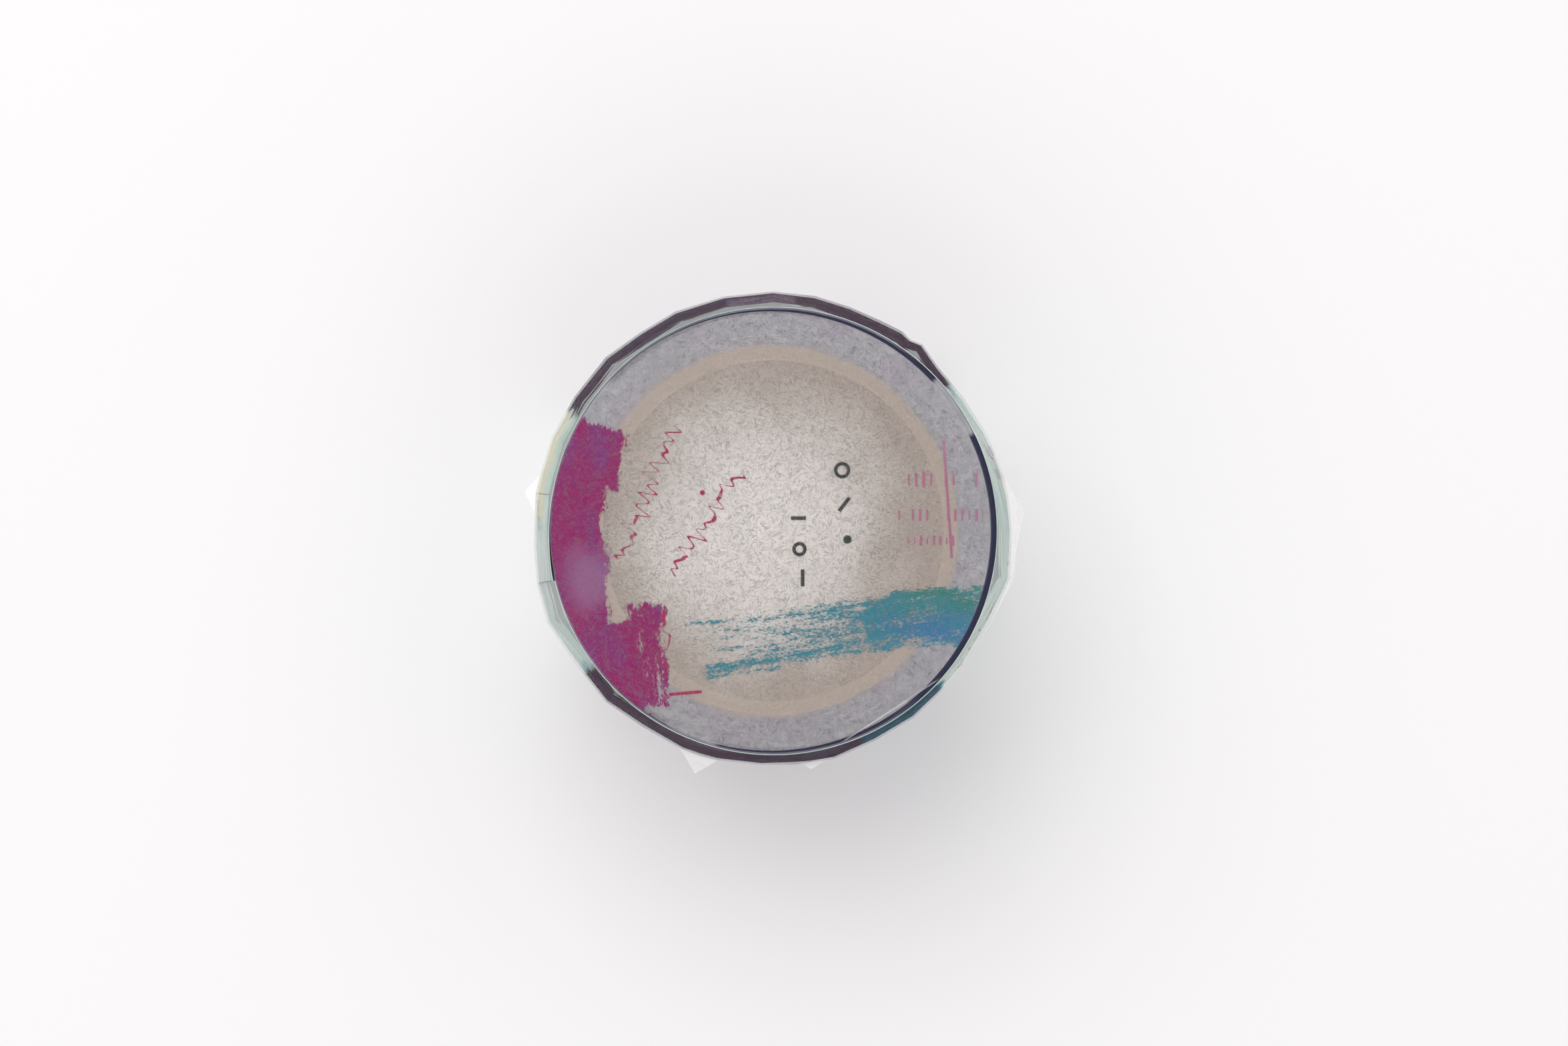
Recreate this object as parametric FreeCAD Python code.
"""A shrink-wrapped roll of thin printed paper tape, with a round paper label on its top end.

Millimetres, +Z up. The origin is on the roll's axis, in the flat bottom face that it stands on.
Each physical piece is one solid in its own STEP file.
"""
import FreeCAD
import Part
import math
import os

# The tape: a long thin strip wound on a paper tube
TAPE_WIDTH = 30.0
TAPE_THICKNESS = 0.09
TAPE_LENGTH = 5000.0

# The paper tube that it is wound on, from three glued plies
CORE_BORE_RADIUS = 16.0
LINER_PLY = 0.25
BOARD_PLY = 0.8
FACE_PLY = 0.25

# The loose end of the tape, which opens clockwise about its root
FREE_END_ARC_LENGTH = 8.0
FREE_END_ROOT_DEG = 171.0
FREE_END_GAP = 0.05
TURN_CLEARANCE = 0.02

# The round label, a little off the roll's axis
LABEL_RADIUS = 20.6
LABEL_THICKNESS = 0.12
LABEL_OFFSET_X = -0.25

# The shrink film: an upper and a lower web, welded together half way up
FILM_WALL = 0.1
FILM_HEADROOM = 0.08
SEAM_LIP_WIDTH = 0.45
SEAM_LIP_THICKNESS = 0.1
SEAM_PARTING = 0.02
SHOULDER_DROP = 0.8
SHOULDER_INSET = 0.35
SIDE_BULGE = 0.35
FOOT_INSET = 0.05

# Corners of the crinkled film, going round: (angle in degrees, stand-off from the roll, ear length).
# The film is flat from each corner to the next, and an ear is a pinched tip that the seam leaves.
FILM_CORNERS = (
    (5, 1.55, 1.7), (21, 0.85, 0), (43, 1.1, 0), (52, 1.75, 0), (57, 1.6, 0), (89, 1.8, 0),
    (115, 1.6, 0), (134, 1.5, 0), (146, 1.5, 0), (161, 1.5, 0), (171, 1.65, 1.8), (193, 1.95, 0),
    (202, 1.6, 0), (225, 1.5, 0), (245, 1.5, 0), (252, 1.7, 2.0), (257, 1.45, 0), (279, 1.5, 0),
    (286, 1.6, 0.6), (307, 1.3, 0), (322, 0.95, 0), (349, 1.75, 0.5),
)

CORE_RADIUS = CORE_BORE_RADIUS + LINER_PLY + BOARD_PLY + FACE_PLY
ROLL_RADIUS = math.sqrt(CORE_RADIUS**2 + TAPE_LENGTH * TAPE_THICKNESS / math.pi)
ROLL_BOTTOM = FILM_WALL
ROLL_TOP = ROLL_BOTTOM + TAPE_WIDTH
FILM_TOP = ROLL_TOP + LABEL_THICKNESS + FILM_HEADROOM + FILM_WALL
SEAM_HEIGHT = FILM_TOP / 2


def tube(inner, outer, bottom, height):
    """A straight tube about the roll's axis."""
    foot = FreeCAD.Vector(0, 0, bottom)
    return Part.makeCylinder(outer, height, foot).cut(Part.makeCylinder(inner, height, foot))


def tube_sector(inner, outer, bottom, height, start_deg, end_deg):
    """The part of a tube between two angles."""
    sweep = end_deg - start_deg
    foot = FreeCAD.Vector(0, 0, bottom)
    up = FreeCAD.Vector(0, 0, 1)
    sector = Part.makeCylinder(outer, height, foot, up, sweep)
    sector = sector.cut(Part.makeCylinder(inner, height, foot))
    sector.rotate(FreeCAD.Vector(0, 0, 0), up, start_deg)
    return sector


def core_plies():
    """The three glued plies of the paper tube, from the bore outwards."""
    plies = {}
    radius = CORE_BORE_RADIUS
    layers = (("core_liner_ply", LINER_PLY), ("core_board_ply", BOARD_PLY),
              ("core_face_ply", FACE_PLY))
    for name, thickness in layers:
        plies[name] = tube(radius, radius + thickness, ROLL_BOTTOM, TAPE_WIDTH)
        radius += thickness
    return plies


def tape_pieces():
    """The wound tape, its last turn, and the loose end that starts the tape."""
    turn_inside = ROLL_RADIUS - TAPE_THICKNESS
    end_inside = turn_inside + TURN_CLEARANCE
    sweep = math.degrees(FREE_END_ARC_LENGTH / ROLL_RADIUS)
    gap = math.degrees(FREE_END_GAP / ROLL_RADIUS)
    root, tip = FREE_END_ROOT_DEG, FREE_END_ROOT_DEG + sweep
    return {
        "tape_winding": tube(CORE_RADIUS, turn_inside, ROLL_BOTTOM, TAPE_WIDTH),
        "tape_last_turn": tube_sector(turn_inside, ROLL_RADIUS, ROLL_BOTTOM, TAPE_WIDTH,
                                      tip + gap, root + 360 - gap),
        "tape_free_end": tube_sector(end_inside, end_inside + TAPE_THICKNESS, ROLL_BOTTOM,
                                     TAPE_WIDTH, root, tip),
    }


def label():
    """The round label, lying on the top end of the roll."""
    centre = FreeCAD.Vector(LABEL_OFFSET_X, 0, ROLL_TOP)
    return Part.makeCylinder(LABEL_RADIUS, LABEL_THICKNESS, centre)


def film_ring(height, outset, ears=False):
    """The film's corners at one height, each moved out from its stand-off by outset."""
    points = []
    for angle_deg, stand_off, ear in FILM_CORNERS:
        radius = ROLL_RADIUS + stand_off + outset + (ear if ears else 0)
        angle = math.radians(angle_deg)
        points.append(FreeCAD.Vector(radius * math.cos(angle), radius * math.sin(angle), height))
    return points


def band(lower, upper):
    """Two triangles between each pair of neighbouring corners of two rings."""
    faces = []
    for i in range(len(lower)):
        j = (i + 1) % len(lower)
        for corners in ((lower[i], lower[j], upper[j]), (lower[i], upper[j], upper[i])):
            faces.append(Part.Face(Part.makePolygon(corners + corners[:1])))
    return faces


def film_web(lip_inside, lip_outside, sheet_outside, sheet_inside, inset):
    """One web of the film: a lip at the seam, a side wall, a shoulder and a flat sheet."""
    inward = 1 if sheet_outside < sheet_inside else -1
    rings = [
        film_ring(lip_inside, SIDE_BULGE - FILM_WALL),
        film_ring(lip_inside, SIDE_BULGE + SEAM_LIP_WIDTH, ears=True),
        film_ring(lip_outside, SIDE_BULGE + SEAM_LIP_WIDTH, ears=True),
        film_ring(lip_outside, SIDE_BULGE),
        film_ring(sheet_outside + inward * SHOULDER_DROP, -inset),
        film_ring(sheet_outside, -inset - SHOULDER_INSET),
    ]
    inner = [
        film_ring(sheet_inside, -inset - SHOULDER_INSET - FILM_WALL / 2),
        film_ring(sheet_inside + inward * (SHOULDER_DROP - FILM_WALL), -inset - FILM_WALL),
        rings[0],
    ]
    faces = []
    for chain in (rings, inner):
        for lower, upper in zip(chain, chain[1:]):
            faces += band(lower, upper)
    for ring in (rings[-1], inner[0]):
        faces.append(Part.Face(Part.makePolygon(ring + ring[:1])))
    web = Part.makeSolid(Part.makeShell(faces))
    if web.Volume < 0:
        web.reverse()
    return web


def film():
    """The two webs of the shrink film, parted at the weld."""
    low, high = SEAM_HEIGHT - SEAM_PARTING / 2, SEAM_HEIGHT + SEAM_PARTING / 2
    return {
        "film_upper_web": film_web(high, high + SEAM_LIP_THICKNESS, FILM_TOP,
                                   FILM_TOP - FILM_WALL, 0),
        "film_lower_web": film_web(low, low - SEAM_LIP_THICKNESS, 0, FILM_WALL, FOOT_INSET),
    }


def main():
    os.makedirs("parts", exist_ok=True)
    pieces = {**core_plies(), **tape_pieces(), "label_disc": label(), **film()}
    for name, shape in pieces.items():
        box = shape.BoundBox
        print(f"{name}: valid {shape.isValid()}, {len(shape.Solids)} solid, "
              f"{shape.Volume:.1f} mm3, z {box.ZMin:.2f} to {box.ZMax:.2f}, "
              f"{box.XLength:.2f} x {box.YLength:.2f}")
        shape.exportStep(f"parts/{name}.step")
    print(f"roll radius {ROLL_RADIUS:.3f}, film top {FILM_TOP:.2f}")


main()
